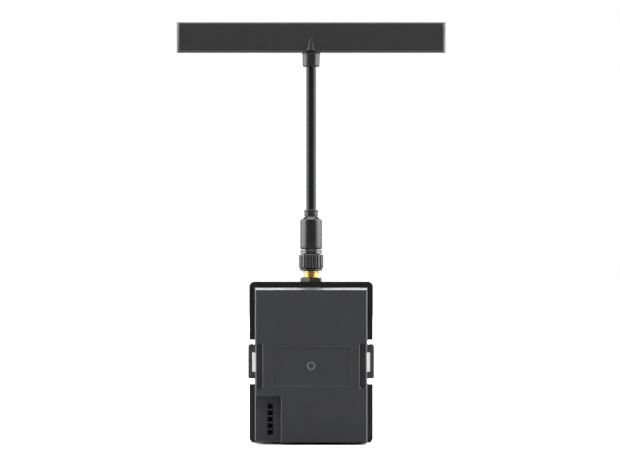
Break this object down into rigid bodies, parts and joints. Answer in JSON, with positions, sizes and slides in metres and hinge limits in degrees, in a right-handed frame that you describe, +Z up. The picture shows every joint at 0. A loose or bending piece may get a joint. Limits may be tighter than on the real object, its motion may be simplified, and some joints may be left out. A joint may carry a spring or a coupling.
{
  "type": "plug-in radio transceiver module",
  "caption": "Slim plug-in radio module with a drafted insert, squeeze latches, a pin socket, a glossy cover and a T-shaped antenna on a flexible stem.",
  "frame": {"origin": "under the middle of the bounding box, on the plane of the cover's lower edge, which it stands on", "axes": "+Z up along the antenna, +X to the right as seen from the insert's side, -Y toward the bay that the insert slides into"},
  "size_m": [0.1072, 0.0306, 0.1675],
  "materials": {
    "insert_plastic": "fine-grained moulded plastic",
    "cover_plastic": "polished moulded plastic",
    "latch_plastic": "spark-eroded texture",
    "steel": "zinc-plated steel",
    "black_steel": "black-oxide steel",
    "nylon": "glass-filled nylon",
    "gold": "gold-plated brass",
    "board": "solder mask on glass-epoxy laminate",
    "nickel": "nickel plating",
    "thermal_pad": "filled silicone",
    "aluminium": "extruded, bead-blasted",
    "bronze": "sintered or turned",
    "guard_plastic": "moulded plastic",
    "power_plastic": "moulded nylon",
    "clear_plastic": "clear polished plastic",
    "lamp": "encapsulated lamp",
    "white_insulator": "turned fluoropolymer",
    "cable_jacket": "extruded jacket",
    "nut_metal": "olive passivated",
    "knurled_metal": "black-plated, knurled",
    "barrel_plastic": "moulded satin plastic",
    "stem_sleeve": "extruded sleeve over braid",
    "bar_plastic": "satin moulded plastic"
  },
  "bodies": {
    "case": {"rear_case": "insert_plastic", "front_case": "cover_plastic", "latch_pins": "black_steel", "case_screws": "steel", "pin_socket": "nylon", "socket_contacts": "gold", "main_board": "board", "board_screws": "steel", "shield_can": "nickel", "thermal_pad": "thermal_pad", "heat_sink": "aluminium", "fan_frame": "nylon", "fan_bearing": "bronze", "fan_screws": "steel", "vent_guard": "guard_plastic", "io_board": "board", "board_header": "nylon", "board_standoffs": "bronze", "data_receptacle": "nickel", "receptacle_tongue": "nylon", "power_socket": "power_plastic", "power_pins": "gold", "button_switch": "nylon", "status_lamp": "lamp", "light_pipe": "clear_plastic", "antenna_jack": "gold", "jack_insulator": "white_insulator", "jack_contact": "gold", "coax_lead": "cable_jacket", "board_coax_plug": "gold", "lock_washer": "steel", "hex_nut": "nut_metal"},
    "latch_left": {"latch_left": "latch_plastic"},
    "latch_right": {"latch_right": "latch_plastic"},
    "fan": {"fan_rotor": "nylon", "fan_shaft": "steel"},
    "button": {"button_cap": "latch_plastic"},
    "retainer": {"snap_ring": "steel"},
    "coupling": {"coupling_nut": "knurled_metal"},
    "antenna_base": {"plug_body": "nickel", "plug_insulator": "white_insulator", "plug_pin": "gold", "barrel": "barrel_plastic", "stem_collar": "stem_sleeve", "stem_link_1": "stem_sleeve"},
    "stem_2": {"stem_link_2": "stem_sleeve"},
    "stem_3": {"stem_link_3": "stem_sleeve"},
    "stem_4": {"stem_link_4": "stem_sleeve"},
    "antenna_head": {"stem_link_5": "stem_sleeve", "bar_boss": "bar_plastic", "bar_rear_shell": "bar_plastic", "bar_front_shell": "bar_plastic", "dipole_board": "board"}
  },
  "joints": [
    {"name": "latch_right_squeeze", "type": "hinge", "parent": "case", "child": "latch_right", "pos_m": [0.02049, -0.01285, 0.031], "axis": [0, 0, 1], "range_deg": [0, 4.5], "stiffness_Nm_per_rad": 0.25, "springref_deg": -2.29},
    {"name": "latch_left_squeeze", "type": "hinge", "parent": "case", "child": "latch_left", "pos_m": [-0.02049, -0.01285, 0.031], "axis": [0, 0, -1], "range_deg": [0, 4.5], "stiffness_Nm_per_rad": 0.25, "springref_deg": -2.29},
    {"name": "fan_spin", "type": "hinge", "parent": "case", "child": "fan", "pos_m": [0, 0.00875, 0.034], "axis": [0, 1, 0], "continuous": true},
    {"name": "button_press", "type": "slide", "parent": "case", "child": "button", "axis": [0, -1, 0], "range_m": [0, 0.0004], "stiffness_N_per_m": 500, "springref_m": -0.0005},
    {"name": "antenna_lift", "type": "slide", "parent": "case", "child": "retainer", "axis": [0, 0, 1], "range_m": [0, 0.0036]},
    {"name": "coupling_nut_turn", "type": "hinge", "parent": "retainer", "child": "coupling", "pos_m": [0, 0.00895, 0.072], "axis": [0, 0, 1], "range_deg": [0, 1836.9]},
    {"name": "antenna_swivel", "type": "hinge", "parent": "retainer", "child": "antenna_base", "pos_m": [0, 0.00895, 0.08], "axis": [0, 0, 1], "range_deg": [-180, 180]},
    {"name": "stem_flex_1", "type": "hinge", "parent": "antenna_base", "child": "stem_2", "pos_m": [0, 0.00895, 0.10271], "axis": [1, 0, 0], "range_deg": [-20, 20], "stiffness_Nm_per_rad": 0.08},
    {"name": "stem_flex_2", "type": "hinge", "parent": "stem_2", "child": "stem_3", "pos_m": [0, 0.00895, 0.1151], "axis": [1, 0, 0], "range_deg": [-20, 20], "stiffness_Nm_per_rad": 0.08},
    {"name": "stem_flex_3", "type": "hinge", "parent": "stem_3", "child": "stem_4", "pos_m": [0, 0.00895, 0.1275], "axis": [1, 0, 0], "range_deg": [-20, 20], "stiffness_Nm_per_rad": 0.08},
    {"name": "stem_flex_4", "type": "hinge", "parent": "stem_4", "child": "antenna_head", "pos_m": [0, 0.00895, 0.13989], "axis": [1, 0, 0], "range_deg": [-20, 20], "stiffness_Nm_per_rad": 0.08}
  ],
  "couplings": [
    {"joint": "coupling_nut_turn", "follows": "antenna_lift", "rad_per_m": 8905.3}
  ]
}
